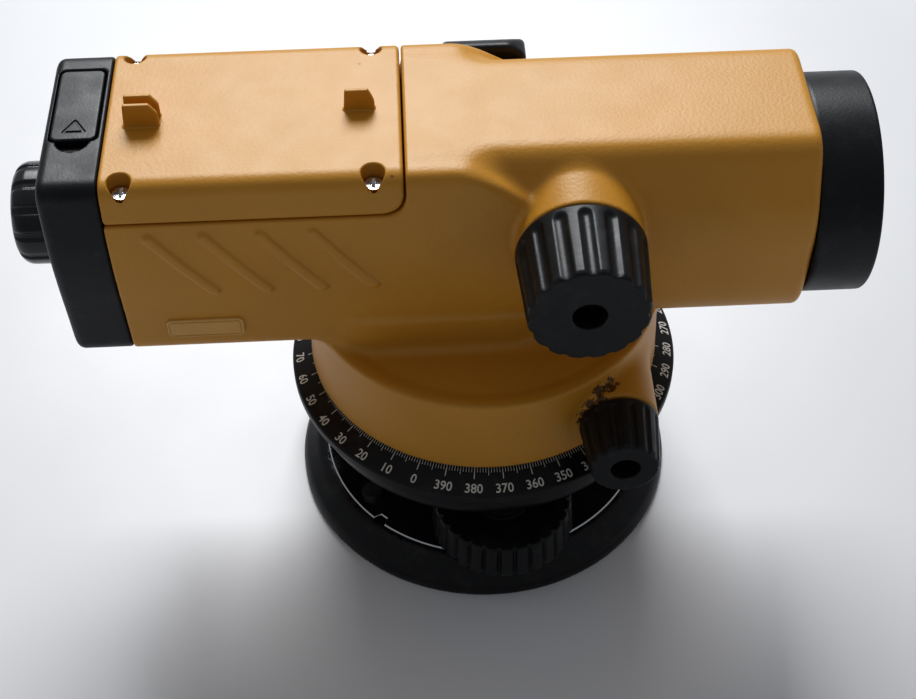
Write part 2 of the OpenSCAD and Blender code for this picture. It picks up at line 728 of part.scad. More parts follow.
module pendulum_frame() {
    color([0.62, 0.55, 0.36]) {
        block(pendulum_x - pendulum_half, pendulum_x + pendulum_half, -12.5, 12.5, 88, 89.5);
        for (s = [-1, 1])
            block(pendulum_x - 6, pendulum_x + 6, s > 0 ? 11 : -12.5, s > 0 ? 12.5 : -11, 89.5, 111);
        block(pendulum_x - 3, pendulum_x + 3, -12.5, 12.5, 111, 114);
    }
}
module pendulum_prism() {
    color([0.72, 0.84, 0.88]) translate([pendulum_x, 10, 89.5]) rotate([90, 0, 0])
        linear_extrude(20) polygon([[-4, 0], [4, 0], [9.6, 8], [-9.6, 8]]);
}
module damper_vane() {
    color([0.7, 0.7, 0.72]) block(pendulum_x - 6, pendulum_x + 6, -0.5, 0.5, 83, 88);
}

// ---- Circular vial ----

hood_t = 1.6;
module vial_bracket() {
    color([0.14, 0.14, 0.15]) difference() {
        union() {
            block(vial_x - 10, vial_x + 10, pad_y, 47, 90, 93);
            block(vial_x - 10, vial_x + 10, pad_y, pad_y + 2.5, 86, 90);
        }
        at_vial_screws() rod_z(89, 94, 0, 0, 1.2);
    }
}
module at_vial_screws() {
    for (i = [0:2]) translate([vial_x, vial_y, 0]) rotate(90 + 120 * i) translate([7, 0, 0]) children();
}
module vial_cup() {
    color([0.7, 0.7, 0.72]) difference() {
        rod_z(94.5, 102, vial_x, vial_y, 8.6);
        rod_z(97, 103, vial_x, vial_y, 7);
    }
}
module vial_glass() {
    color([0.72, 0.85, 0.45]) rod_z(97, 102.6, vial_x, vial_y, 7);
}
module vial_screws() {
    color([0.62, 0.63, 0.65]) at_vial_screws() {
        rod_z(88.5, 90, 0, 0, 1.9);
        rod_z(90, 94.5, 0, 0, 1.2);
    }
}
vial_hood_x = [-9, 13];
vial_hood_top = 128.3;
module vial_hood() {
    color([0.1, 0.1, 0.11]) difference() {
        translate([vial_hood_x[0], 0, 0]) rotate([90, 0, 90]) linear_extrude(vial_hood_x[1] - vial_hood_x[0])
            polygon([[pad_y, 105], [47, 105], [47, 114], [43, 119.5], [32, vial_hood_top], [pad_y, vial_hood_top]]);
        translate([vial_hood_x[0] - cut, 0, 0]) rotate([90, 0, 90])
            linear_extrude(vial_hood_x[1] - vial_hood_x[0] + cut - hood_t)
            polygon([[pad_y + hood_t, 104], [47 - hood_t, 104], [47 - hood_t, 113.5], [42, 118.4],
                [pad_y + hood_t, 119]]);
        translate([vial_hood_x[1] - 4, 20, vial_hood_top]) rotate([0, 42, 0]) cube([12, 40, 6]);
    }
}
module vial_prism() {
    color([0.72, 0.84, 0.88]) translate([0, vial_y + 3.5, 0]) rotate([90, 0, 0]) linear_extrude(10)
        polygon([[-4, 105], [11.4, 105], [11.4, 118]]);
}

base_plate();
thread_insert();
spring_plate();
spring_plate_screws();
foot_screw(0);  // foot_screw_1
foot_screw(1);  // foot_screw_2
foot_screw(2);  // foot_screw_3
foot_knob(0);  // foot_knob_1
foot_knob(1);  // foot_knob_2
foot_knob(2);  // foot_knob_3
tribrach_plate();
foot_screw_bushes();
axis_bush();
horizontal_circle();
housing();
cover_plate();
cover_screws();
rear_cap();
label_plate();
objective_hood();
objective_cell();
objective_lens();
focus_tube();
focus_bush();
focus_cell();
focus_lens();
focus_shaft();
focus_knob();
spindle();
spindle_screws();
spindle_nut();
worm_bushes();
worm();
fine_knob_near();
fine_knob_far();
worm_wheel();
compensator_frame();
suspension_tapes();
fixed_prisms();
damper_magnets();
pendulum_frame();
pendulum_prism();
damper_vane();
reticle_ring();
reticle_glass();
reticle_screw();
reticle_cover();
eyepiece_sleeve();
eyepiece_cell();
eyepiece_lens();
eyepiece_knob();
vial_bracket();
vial_cup();
vial_glass();
vial_screws();
vial_hood();
vial_prism();
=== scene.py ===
"""The looks of an automatic surveying level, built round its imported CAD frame.

Shapes are worked out in millimetres in the CAD frame and scaled to metres when a mesh is made.
Castings and mouldings are smooth fields that are turned into meshes. Turned parts are lathed profiles.
"""
import math

import bmesh
import bpy
import numpy as np
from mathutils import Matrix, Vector


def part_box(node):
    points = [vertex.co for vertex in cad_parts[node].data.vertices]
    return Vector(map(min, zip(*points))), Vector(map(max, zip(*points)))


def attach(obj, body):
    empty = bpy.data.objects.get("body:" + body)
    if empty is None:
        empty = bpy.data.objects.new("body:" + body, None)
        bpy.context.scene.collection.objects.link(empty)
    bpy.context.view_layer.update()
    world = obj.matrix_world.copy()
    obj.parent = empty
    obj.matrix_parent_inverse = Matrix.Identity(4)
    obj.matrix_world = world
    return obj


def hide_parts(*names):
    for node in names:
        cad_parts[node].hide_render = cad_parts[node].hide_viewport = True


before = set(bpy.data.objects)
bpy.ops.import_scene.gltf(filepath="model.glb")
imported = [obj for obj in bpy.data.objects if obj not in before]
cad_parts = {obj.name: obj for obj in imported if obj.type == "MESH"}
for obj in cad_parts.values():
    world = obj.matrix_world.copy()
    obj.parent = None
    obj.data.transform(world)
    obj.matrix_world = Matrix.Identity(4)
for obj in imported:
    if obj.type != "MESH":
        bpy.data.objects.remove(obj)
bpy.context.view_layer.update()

MM = 0.001


# ---------------------------------------------------------------- sizes, in mm

def node_box(node):
    low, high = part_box(node)
    return np.array(low) / MM, np.array(high) / MM


housing_low, housing_high = node_box("housing")
cover_low, cover_high = node_box("cover_plate")
cap_low, cap_high = node_box("rear_cap")
lid_low, lid_high = node_box("reticle_cover")
hood_low, hood_high = node_box("objective_hood")
ring_low, ring_high = node_box("horizontal_circle")
base_low, base_high = node_box("base_plate")
vial_hood_low, vial_hood_high = node_box("vial_hood")
label_low, label_high = node_box("label_plate")
tribrach_low, tribrach_high = node_box("tribrach_plate")
plate_low, plate_high = node_box("spring_plate")

TOP_Z = lid_high[2]
HOOD_R = (hood_high[1] - hood_low[1]) / 2
AXIS_Z = (hood_high[2] + hood_low[2]) / 2
REAR_X = cap_high[0]
FRONT_X = hood_low[0]
TOP_H = TOP_Z - AXIS_Z
COVER_Z = cover_low[2]
COVER_FRONT_X = cover_high[0]
RING_R = ring_high[0]

# The skirt over the circle is 1 mm narrower at SHOULDER_Z than at its lower edge.
SKIRT_R = 48.2
SKIRT_Z = housing_low[2]
SHOULDER_Z = 74
DISH_Z = 73

# The boss of the focus knob rises by FOCUS_BOSS_RISE for each mm inward from its face.
focus_low, focus_high = node_box("focus_knob")
FOCUS_X = (focus_low[0] + focus_high[0]) / 2
FOCUS_Z = (focus_low[2] + focus_high[2]) / 2
FOCUS_BOSS_Y = focus_high[1] + 0.4
FOCUS_BOSS_R = 15.6
FOCUS_BOSS_RISE = 0.13

# Fine motion shaft and its bosses, one at each end.
FINE_X = 33
FINE_Z = 60.2
FINE_BOSS_R = 10.4
FINE_BOSS_Y = 42

# Four cover screws in round wells. Posts under the cover hold them.
SCREW_X = (-86.6, -27.2)
SCREW_HEAD_R = 2.2
SCREW_Y = node_box("cover_screws")[1][1] - SCREW_HEAD_R
SCREW_HEAD_Z = 127.9
SCREW_HOLE_R = 1.6
WELL_R = 2.8
POST_R = 4.2
SIGHT_BLADE = 1.2

# Three foot screws, the first one nearest the camera.
FOOT_R = 37.3
FOOT_AZIMUTH = -84.8


def foot_place(number):
    """The centre of foot screw 0, 1 or 2."""
    angle = math.radians(FOOT_AZIMUTH + 120 * number)
    return FOOT_R * math.cos(angle), FOOT_R * math.sin(angle)


# ---------------------------------------------------------------- fields

def smax(a, b, k):
    """The larger of two distances, with the edge where they meet rounded over a width of k."""
    blend = np.maximum(k - np.abs(a - b), 0) / k
    return np.maximum(a, b) + blend * blend * k / 4


def smin(a, b, k):
    """The smaller of two distances, rounded in the same way."""
    return -smax(-a, -b, k)


def edge(y, h, top, bottom):
    """Distance outside the line that runs down from top to bottom, both (half width, height)."""
    dy, dh = bottom[0] - top[0], bottom[1] - top[1]
    return ((y - top[0]) * -dh + (h - top[1]) * dy) / math.hypot(dy, dh)


def slab(value, low, high):
    """Distance outside the range from low to high."""
    return np.maximum(low - value, value - high)


def box_field(x, y, z, low, high, k):
    sides = smax(slab(x, low[0], high[0]), slab(y, low[1], high[1]), k)
    return smax(sides, slab(z, low[2], high[2]), k)


def smoothstep(value, low, high):
    t = np.clip((value - low) / (high - low), 0, 1)
    return t * t * (3 - 2 * t)


def surface_net(field, low, high, voxel):
    """Vertices and quads of the surface where field(x, y, z) is 0."""
    margin = 2.3 * voxel
    low = np.array(low, float) - margin
    counts = np.ceil((np.array(high) + margin - low) / voxel).astype(int) + 1
    x, y, z = (low[a] + voxel * np.arange(counts[a]) for a in range(3))
    value = field(x[:, None, None], y[None, :, None], z[None, None, :])
    value = np.ascontiguousarray(np.broadcast_to(value, counts))
    inside = value < 0
    cells = counts - 1
    mixed = np.zeros(cells, bool)
    first = inside[:-1, :-1, :-1]
    for i in (0, 1):
        for j in (0, 1):
            for k in (0, 1):
                mixed |= first != inside[i:i + cells[0], j:j + cells[1], k:k + cells[2]]
    index = np.full(cells, -1)
    index[mixed] = np.arange(mixed.sum())
    corner = np.argwhere(mixed)
    total = np.zeros((len(corner), 3))
    hits = np.zeros(len(corner))
    faces = []
    for axis in range(3):
        step = np.eye(3, dtype=int)[axis]
        end = counts - step
        a = value[:end[0], :end[1], :end[2]]
        b = value[step[0]:, step[1]:, step[2]:]
        crossing = np.argwhere((a < 0) != (b < 0))
        others = [(axis + 1) % 3, (axis + 2) % 3]
        inner = np.ones(len(crossing), bool)
        for o in others:
            inner &= (crossing[:, o] > 0) & (crossing[:, o] < cells[o])
        crossing = crossing[inner]
        va = a[tuple(crossing.T)]
        vb = b[tuple(crossing.T)]
        point = crossing.astype(float)
        point[:, axis] += va / (va - vb)
        around = []
        for du, dv in ((-1, -1), (0, -1), (0, 0), (-1, 0)):
            cell = crossing.copy()
            cell[:, others[0]] += du
            cell[:, others[1]] += dv
            owner = index[tuple(cell.T)]
            around.append(owner)
            for c in range(3):
                total[:, c] += np.bincount(owner, point[:, c], len(corner))
            hits += np.bincount(owner, minlength=len(corner))
        quads = np.stack(around, 1)
        flip = va > 0
        quads[flip] = quads[flip][:, ::-1]
        faces.append(quads)
    vertices = low + voxel * total / hits[:, None]
    return vertices, np.concatenate(faces)


def gradient(field, points, step=0.04):
    """Slope of the field at each point."""
    slopes = []
    for axis in range(3):
        shift = np.eye(3)[axis] * step
        slopes.append(field(*(points + shift).T) - field(*(points - shift).T))
    slopes = np.stack(slopes, 1)
    return slopes / (2 * step)


def settle(field, vertices, voxel):
    """Moves vertices onto the surface, and returns them with its normals."""
    for _ in range(3):
        slope = gradient(field, vertices)
        size = np.maximum((slope * slope).sum(1), 0.1)
        move = slope * (field(*vertices.T) / size)[:, None]
        length = np.maximum(np.linalg.norm(move, axis=1), 1e-9)
        vertices = vertices - move * np.minimum(1, 0.4 * voxel / length)[:, None]
    slope = gradient(field, vertices)
    return vertices, slope / np.maximum(np.linalg.norm(slope, axis=1), 1e-9)[:, None]


# ---------------------------------------------------------------- meshes

def new_object(name, vertices, faces, material, normals=None):
    """A mesh object from points in mm."""
    mesh = bpy.data.meshes.new(name)
    if isinstance(faces, np.ndarray):
        corners = faces.shape[1]
        mesh.vertices.add(len(vertices))
        mesh.vertices.foreach_set("co", (np.asarray(vertices) * MM).astype(np.float32).ravel())
        mesh.loops.add(faces.size)
        mesh.loops.foreach_set("vertex_index", faces.astype(np.int32).ravel())
        mesh.polygons.add(len(faces))
        mesh.polygons.foreach_set("loop_start", np.arange(0, faces.size, corners, dtype=np.int32))
        mesh.update(calc_edges=True)
        mesh.validate()
    else:
        mesh.from_pydata([tuple(c * MM for c in v) for v in vertices], [], faces)
        mesh.update()
    mesh.polygons.foreach_set("use_smooth", [True] * len(mesh.polygons))
    if normals is not None:
        mesh.normals_split_custom_set_from_vertices(normals.tolist())
    piece = bpy.data.objects.new(name, mesh)
    bpy.context.scene.collection.objects.link(piece)
    mesh.materials.append(material)
    return piece


def moulded(name, field, low, high, voxel, material):
    """A piece from a field."""
    vertices, faces = surface_net(field, low, high, voxel)
    vertices, normals = settle(field, vertices, voxel)
    return new_object(name, vertices, faces, material, normals)


def rounded(points, steps=4):
    """A closed profile of (radius, position, fillet) points with its corners rounded."""
    out = []
    for i, point in enumerate(points):
        here = np.array(point[:2], float)
        fillet = point[2] if len(point) > 2 else 0
        if fillet <= 0:
            out.append(here)
            continue
        before = np.array(points[i - 1][:2], float) - here
        after = np.array(points[(i + 1) % len(points)][:2], float) - here
        reach = min(fillet, np.linalg.norm(before) * 0.49, np.linalg.norm(after) * 0.49)
        start = here + before / np.linalg.norm(before) * reach
        end = here + after / np.linalg.norm(after) * reach
        for s in range(steps + 1):
            t = s / steps
            out.append((1 - t) ** 2 * start + 2 * t * (1 - t) * here + t * t * end)
    return out


AXES = {
    "x": lambda a, b, t: (t, a, b),
    "y": lambda a, b, t: (a, t, b),
    "z": lambda a, b, t: (a, b, t),
}


def lathe(name, profile, axis, centre, material, segments=128, carve=None):
    """Revolves a closed profile of (radius, position) round an axis.

    carve(angle, position, radius) gives a new radius.
    """
    turn = np.linspace(0, 2 * math.pi, segments, endpoint=False)
    place = AXES[axis]
    vertices = []
    for radius, position in profile:
        r = np.full(segments, float(radius))
        if carve is not None:
            r = carve(turn, position, r)
        a, b, t = r * np.cos(turn), r * np.sin(turn), np.full(segments, float(position))
        vertices.append(np.stack(place(a, b, t), 1))
    vertices = np.concatenate(vertices) + np.array(centre, float)
    rings = len(profile)
    i = np.arange(rings)[:, None]
    k = np.arange(segments)[None, :]
    n, m = (i + 1) % rings, (k + 1) % segments
    quads = [i * segments + k, i * segments + m, n * segments + m, n * segments + k]
    piece = new_object(name, vertices, np.stack(quads, -1).reshape(-1, 4), material)
    face_outwards(piece)
    return piece


def face_outwards(piece):
    """Turns all faces of a closed piece outwards, and weights its normals by face area."""
    work = bmesh.new()
    work.from_mesh(piece.data)
    bmesh.ops.recalc_face_normals(work, faces=work.faces)
    work.to_mesh(piece.data)
    work.free()
    weighted = piece.modifiers.new("even_shading", "WEIGHTED_NORMAL")
    weighted.keep_sharp = True
    weighted.weight = 60


def flat_faces(piece):
    piece.data.polygons.foreach_set("use_smooth", [False] * len(piece.data.polygons))


def finish_piece(piece, body, slot, *nodes):
    """Hangs a piece on its body and hides the CAD nodes that it stands for. The slot is not used."""
    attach(piece, body)
    if nodes:
        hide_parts(*nodes)


# ---------------------------------------------------------------- materials

def add_node(tree, kind, values=(), **settings):
    made = tree.nodes.new(kind)
    for key, value in settings.items():
        setattr(made, key, value)
    for key, value in dict(values).items():
        made.inputs[key].default_value = value
    return made


def noise(tree, coords, scale, detail=4, roughness=0.55):
    made = add_node(tree, "ShaderNodeTexNoise", {"Scale": scale, "Detail": detail, "Roughness": roughness})
    tree.links.new(coords, made.inputs["Vector"])
    return made.outputs["Fac"]


def spread(tree, value, low, high, to_low, to_high):
    made = add_node(tree, "ShaderNodeMapRange",
                    {"From Min": low, "From Max": high, "To Min": to_low, "To Max": to_high})
    tree.links.new(value, made.inputs["Value"])
    return made.outputs["Result"]


def mix_colour(tree, factor, first, second):
    made = tree.nodes.new("ShaderNodeMix")
    made.data_type = "RGBA"
    tree.links.new(factor, made.inputs[0])
    for socket, colour in ((made.inputs[6], first), (made.inputs[7], second)):
        if isinstance(colour, tuple):
            socket.default_value = (*colour, 1)
        else:
            tree.links.new(colour, socket)
    return made.outputs[2]


def tinted(colour, factor):
    return tuple(c * factor for c in colour)


STAIN = (0.030, 0.012, 0.006)
DUST = (0.35, 0.34, 0.32)


def stain_mask(tree, coords, centre, radius):
    """1 inside a ragged patch round centre, 0 outside. Both sizes are in mm."""
    distance = add_node(tree, "ShaderNodeVectorMath", operation="DISTANCE")
    distance.inputs[1].default_value = [c * MM for c in centre]
    tree.links.new(coords, distance.inputs[0])
    ragged = add_node(tree, "ShaderNodeMath", {1: 3 * radius * MM}, operation="MULTIPLY_ADD")
    tree.links.new(noise(tree, coords, 700, 3), ragged.inputs[0])
    tree.links.new(distance.outputs["Value"], ragged.inputs[2])
    return spread(tree, ragged.outputs[0], 2.1 * radius * MM, 2.35 * radius * MM, 0.85, 0)


def surface(name, colour, rough, metallic=0.0, mottle=0.06, mottle_scale=60, grain=0.0, grain_scale=900,
            rough_spread=0.06, specks=None, brushed=None, dust=0.0, gloss_level=0.5, stains=()):
    """A painted, moulded or turned surface with mottled colour, grain and uneven gloss."""
    material = bpy.data.materials.new(name)
    material.use_nodes = True
    tree = material.node_tree
    shader = tree.nodes["Principled BSDF"]
    shader.inputs["Metallic"].default_value = metallic
    shader.inputs["Specular IOR Level"].default_value = gloss_level
    coords = add_node(tree, "ShaderNodeTexCoord").outputs["Object"]
    patches = spread(tree, noise(tree, coords, mottle_scale), 0.3, 0.7, 0, 1)
    tone = mix_colour(tree, patches, tinted(colour, 1 - mottle), tinted(colour, 1 + mottle))
    if specks:
        amount, speck_colour, speck_scale = specks
        dots = add_node(tree, "ShaderNodeTexVoronoi", {"Scale": speck_scale})
        tree.links.new(coords, dots.inputs["Vector"])
        chosen = spread(tree, dots.outputs["Distance"], 0.05, 0.16, 1, 0)
        rare = spread(tree, noise(tree, coords, speck_scale * 0.37, 2), 1 - amount, 1 - amount + 0.04, 0, 1)
        both = add_node(tree, "ShaderNodeMath", operation="MULTIPLY")
        tree.links.new(chosen, both.inputs[0])
        tree.links.new(rare, both.inputs[1])
        tone = mix_colour(tree, both.outputs[0], tone, speck_colour)
    if dust:
        film = spread(tree, noise(tree, coords, 160, 8, 0.7), 0.52, 0.75, 0, dust)
        tone = mix_colour(tree, film, tone, DUST)
    for centre, radius in stains:
        tone = mix_colour(tree, stain_mask(tree, coords, centre, radius), tone, STAIN)
    tree.links.new(tone, shader.inputs["Base Color"])
    gloss = noise(tree, coords, mottle_scale * 2.3, 6)
    tree.links.new(spread(tree, gloss, 0.3, 0.7, max(rough - rough_spread, 0.02), rough + rough_spread),
                   shader.inputs["Roughness"])
    height = None
    if grain:
        height = noise(tree, coords, grain_scale, 3, 0.5)
    if brushed:
        stretch = add_node(tree, "ShaderNodeMapping")
        stretch.inputs["Scale"].default_value = brushed
        tree.links.new(coords, stretch.inputs["Vector"])
        height = noise(tree, stretch.outputs["Vector"], 1, 3)
    if height is not None:
        bump = add_node(tree, "ShaderNodeBump", {"Strength": grain or 0.15, "Distance": 0.0002})
        tree.links.new(height, bump.inputs["Height"])
        tree.links.new(bump.outputs["Normal"], shader.inputs["Normal"])
    return material


def glass(name, colour):
    material = surface(name, colour, 0.02, mottle=0.02, rough_spread=0.01)
    shader = material.node_tree.nodes["Principled BSDF"]
    shader.inputs["Transmission Weight"].default_value = 1.0
    shader.inputs["IOR"].default_value = 1.5
    return material


OCHRE = (0.58, 0.278, 0.032)
SPECK = (0.10, 0.05, 0.015)
SOFT_GLOSS = 0.35

# Old grease round the boss of the near fine motion knob: centre and radius, in mm.
GREASE_PATCHES = (
    ((27.5, -38.6, 69.0), 2.6),
    ((30.8, -38.4, 70.3), 2.4),
    ((22.8, -41.6, 61.5), 1.7),
    ((23.4, -41.6, 64.2), 2.1),
    ((25.0, -41.7, 66.9), 2.1),
    ((27.6, -41.8, 69.0), 1.7),
)

yellow = surface("ochre_paint", OCHRE, 0.42, mottle=0.03, mottle_scale=45, grain=0.35, grain_scale=1100,
                 rough_spread=0.02, specks=(0.34, SPECK, 260), stains=GREASE_PATCHES)
black_satin = surface("satin_black_plastic", (0.0090, 0.0095, 0.0108), 0.42, gloss_level=SOFT_GLOSS,
                      mottle=0.15, grain=0.2, grain_scale=1300, dust=0.05)
black_gloss = surface("gloss_black_plastic", (0.016, 0.016, 0.018), 0.2, mottle=0.15, rough_spread=0.08,
                      dust=0.04)
black_knob = surface("knob_black_plastic", (0.0090, 0.0095, 0.0103), 0.38, gloss_level=SOFT_GLOSS,
                     mottle=0.12, grain=0.12, grain_scale=1200, rough_spread=0.07, dust=0.05)
black_metal = surface("black_painted_metal", (0.0067, 0.0067, 0.0077), 0.33, gloss_level=SOFT_GLOSS,
                      mottle=0.15, grain=0.12, grain_scale=800, dust=0.06)
ring_black = surface("circle_black", (0.0054, 0.0054, 0.0063), 0.38, gloss_level=SOFT_GLOSS, mottle=0.1,
                     grain=0.1, dust=0.05)
white_ink = surface("white_ink", (0.62, 0.62, 0.58), 0.5, mottle=0.12, mottle_scale=900)
steel = surface("turned_steel", (0.56, 0.56, 0.58), 0.28, metallic=1, brushed=(300, 300, 9000))
spring_steel = surface("spring_steel", (0.62, 0.63, 0.64), 0.25, metallic=1, brushed=(400, 7000, 400))
screw_steel = surface("bright_screws", (0.80, 0.80, 0.82), 0.22, metallic=1, brushed=(2500, 2500, 400))
brass = surface("turned_brass", (0.68, 0.47, 0.20), 0.3, metallic=1, brushed=(300, 300, 8000))
aluminium = surface("machined_aluminium", (0.56, 0.57, 0.58), 0.38, metallic=1, brushed=(6000, 300, 300))
anodised = surface("black_anodised", (0.020, 0.020, 0.022), 0.4, mottle=0.1, grain=0.1, grain_scale=2000)
magnet = surface("sintered_magnet", (0.12, 0.12, 0.125), 0.5, metallic=0.6, grain=0.4, grain_scale=1500)
optical = glass("optical_glass", (0.90, 0.95, 0.93))
vial_liquid = glass("vial_glass", (0.62, 0.85, 0.25))
label_gold = surface("label_gold", (0.66, 0.38, 0.11), 0.38, mottle=0.05, mottle_scale=80, grain=0.15)

NODE_MATERIALS = {
    black_metal: ["base_plate", "tribrach_plate", "vial_bracket"],
    brass: ["thread_insert", "foot_screw_bushes", "axis_bush", "focus_bush", "worm_bushes", "worm_wheel",
            "pendulum_frame", "reticle_ring"],
    spring_steel: ["spring_plate", "suspension_tapes"],
    steel: ["spring_plate_screws", "foot_screw_1", "foot_screw_2", "foot_screw_3", "focus_shaft", "spindle",
            "spindle_screws", "spindle_nut", "worm", "reticle_screw", "vial_screws"],
    screw_steel: ["cover_screws"],
    ring_black: ["horizontal_circle"],
    yellow: ["housing", "cover_plate", "label_plate"],
    black_satin: ["rear_cap", "reticle_cover", "objective_hood", "vial_hood"],
    black_knob: ["focus_knob", "fine_knob_near", "fine_knob_far", "foot_knob_1", "foot_knob_2", "foot_knob_3",
                 "eyepiece_knob"],
    anodised: ["objective_cell", "focus_cell", "eyepiece_sleeve", "eyepiece_cell"],
    aluminium: ["focus_tube", "compensator_frame", "damper_vane", "vial_cup"],
    optical: ["objective_lens", "focus_lens", "fixed_prisms", "pendulum_prism", "reticle_glass",
              "eyepiece_lens", "vial_prism"],
    vial_liquid: ["vial_glass"],
    magnet: ["damper_magnets"],
}
for material, names in NODE_MATERIALS.items():
    for name in names:
        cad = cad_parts[name]
        cad.data.materials.clear()
        cad.data.materials.append(material)


# ---------------------------------------------------------------- telescope housing

def rear_section(y, h):
    """Cross-section behind the ramp, where h is the height over the optical axis."""
    a = np.abs(y)
    upper = edge(a, h, (25.9, TOP_H), (28.8, 8.8))
    middle = edge(a, h, (28.8, 8.8), (25.8, -10.2))
    lower = edge(a, h, (25.8, -10.2), (24.3, -28.3))
    side = smax(upper, smin(middle, lower, 1.5), 4)
    return smax(smax(side, h - TOP_H, 4), -28.3 - h, 5)


def front_section(y, h):
    """Cross-section in front of the ramp: a facet over each side and a round belly."""
    a = np.abs(y)
    facet = edge(a, h, (18.8, TOP_H), (28.7, 7))
    side = edge(a, h, (28.7, 7), (27, -7))
    belly = np.hypot(np.maximum(a - 6, 0), np.minimum(h + 7, 0)) - 22
    return smax(smax(facet, h - TOP_H, 5), smax(side, belly, 3), 3)


def drum_field(x, y, z):
    """The skirt over the circle, with the bosses of the fine motion shaft."""
    r = np.hypot(x, y)
    wall = r - SKIRT_R + (z - SKIRT_Z) * (1 / (SHOULDER_Z - SKIRT_Z))
    top = z - DISH_Z - smoothstep(r, 41, 45.5)
    drum = smax(wall, top, 1.1)
    boss = smax(np.hypot(x - FINE_X, z - FINE_Z) - FINE_BOSS_R, np.abs(y) - FINE_BOSS_Y, 1.2)
    return smax(smin(drum, boss, 2.5), SKIRT_Z - z, 0.8)


def rib_field(x, y, z, skin):
    """Four slanted raised bars on each side of the rear section."""
    top_z, half_width, rise = 118.5, 1.3, 0.85
    run_x, run_z = 13.6, -18.5
    bars = np.inf
    for top_x in (-81.6, -68.4, -54.9, -42.2):
        t = ((x - top_x) * run_x + (z - top_z) * run_z) / (run_x ** 2 + run_z ** 2)
        t = np.clip(t, 0, 1)
        bar = np.hypot(x - top_x - t * run_x, z - top_z - t * run_z) - half_width
        bars = np.minimum(bars, bar)
    return smax(bars, skin - rise, 0.8)


def cover_region(x, z):
    """Side view of the cover plate's space, with its lower front corner rounded."""
    return smax(x - COVER_FRONT_X, COVER_Z - z, 6)


def housing_cavity(x, y, z, h):
    """The space inside the casting, with the bores of the two drives."""
    around_axis = np.hypot(y, h)
    r = np.hypot(x, y)
    spaces = (
        box_field(x, y, z, (-88, -21.5, 78.5), (-12, 21.5, COVER_Z + 1.5), 1),
        np.maximum(around_axis - 23, slab(x, -13, 62)),
        np.maximum(around_axis - 20, slab(x, 61, 90)),
        np.maximum(around_axis - 11, slab(x, -95, -87)),
        np.maximum(r - 42, slab(z, 45, 66)),
        np.maximum(r - 40, slab(z, 65, 70)),
        np.maximum(np.hypot(x - FINE_X, z - FINE_Z) - 5, slab(np.abs(y), 24, 50)),
        np.maximum(np.hypot(x - FOCUS_X, z - FOCUS_Z) - 5, slab(y, FOCUS_BOSS_Y - 1, -15)),
    )
    cavity = spaces[0]
    for space in spaces[1:]:
        cavity = np.minimum(cavity, space)
    return cavity


def housing_field(x, y, z):
    h = z - AXIS_Z
    skin = rear_section(y, h)
    # The rear section ends in a ramp that runs down to the front one.
    ramp = 0.545 * (x + 4) + 0.838 * (z - TOP_Z)
    rear = smax(smax(skin, ramp, 2.6), np.minimum(x - 8, 4 - h), 4)
    rear = smin(rear, rib_field(x, y, z, skin), 0.8)
    front = smax(smax(front_section(y, h), skin - 0.08 * (x + 4), 0.5), x - FRONT_X, 2.2)
    body = smin(rear, front, 0.5 + 2.5 * smoothstep(h, 8, 15))
    # Focus boss on the near side, and the pad of the vial on the far side.
    boss_z = FOCUS_Z + FOCUS_BOSS_RISE * np.maximum(y - FOCUS_BOSS_Y, 0)
    boss = smax(np.hypot(x - FOCUS_X, z - boss_z) - FOCUS_BOSS_R, FOCUS_BOSS_Y - y, 0.8)
    boss = np.maximum(boss, y + 8)
    body = smin(body, boss, 1.8)
    pad = box_field(x, y, z, (-8, 18, 86), (12, 29, 124), 1.5)
    body = smin(body, pad, 2)
    body = np.maximum(smax(body, h - TOP_H, 0.8), slab(y, FOCUS_BOSS_Y, 29.1))
    # A neck joins the telescope to the drum.
    neck = smax(smax(np.abs(y) - 24, np.hypot(x, y) - 42, 5), slab(z, 70, 82), 1)
    body = smin(body, smin(drum_field(x, y, z), neck, 5), 5)
    body = smax(body, -housing_cavity(x, y, z, h), 0.5)
    body = smax(body, 0.45 - cover_region(x, z), 0.7)
    return smax(body, REAR_X - x, 0.8)


housing = moulded("housing_casting", housing_field, housing_low, housing_high, 0.7, yellow)
finish_piece(housing, "alidade", "yellow_shell", "housing")


# ---------------------------------------------------------------- cover plate with its sights

def sight(x, y, z, x0, x1, y0, y1, height, slant):
    """An upright blade whose upper front corner is cut off, slant = (length, height) of the cut."""
    profile = smax(slab(z, TOP_Z - 2, TOP_Z + height), x0 - x + 0.08 * (z - TOP_Z), 0.4)
    cut = edge(z - TOP_Z, x, (height, x1 - slant[0]), (height - slant[1], x1))
    front = smax(x - x1, -cut, 0.4)
    return smax(smax(profile, front, 0.4), slab(y, y0, y1), 0.4)


def cover_field(x, y, z):
    h = z - AXIS_Z
    plate = smax(rear_section(y, h), cover_region(x, z), 1.1)
    plate = smax(plate, REAR_X - x + 0.05, 1.0)
    inner = box_field(x, y, z, (-88, -21.5, COVER_Z - 9), (COVER_FRONT_X - 4, 21.5, TOP_Z - 3), 1)
    screws = [np.hypot(x - screw_x, np.abs(y) - SCREW_Y) for screw_x in SCREW_X]
    around = np.minimum(*screws)
    plate = smax(plate, -smax(inner, POST_R - around, 0.5), 0.6)
    plate = smax(plate, -np.maximum(around - WELL_R, SCREW_HEAD_Z - z), 0.45)
    plate = smax(plate, -(around - SCREW_HOLE_R), 0.4)
    for y0 in (-4.6, -1.0):
        plate = smin(plate, sight(x, y, z, -87, -78.3, y0, y0 + SIGHT_BLADE, 6.7, (1.9, 2.8)), 0.4)
    return smin(plate, sight(x, y, z, -34, -26.4, -SIGHT_BLADE, 0, 6.0, (1.4, 3.4)), 0.4)


cover = moulded("cover_plate_casting", cover_field, cover_low, cover_high, 0.4, yellow)
finish_piece(cover, "alidade", "yellow_shell", "cover_plate")


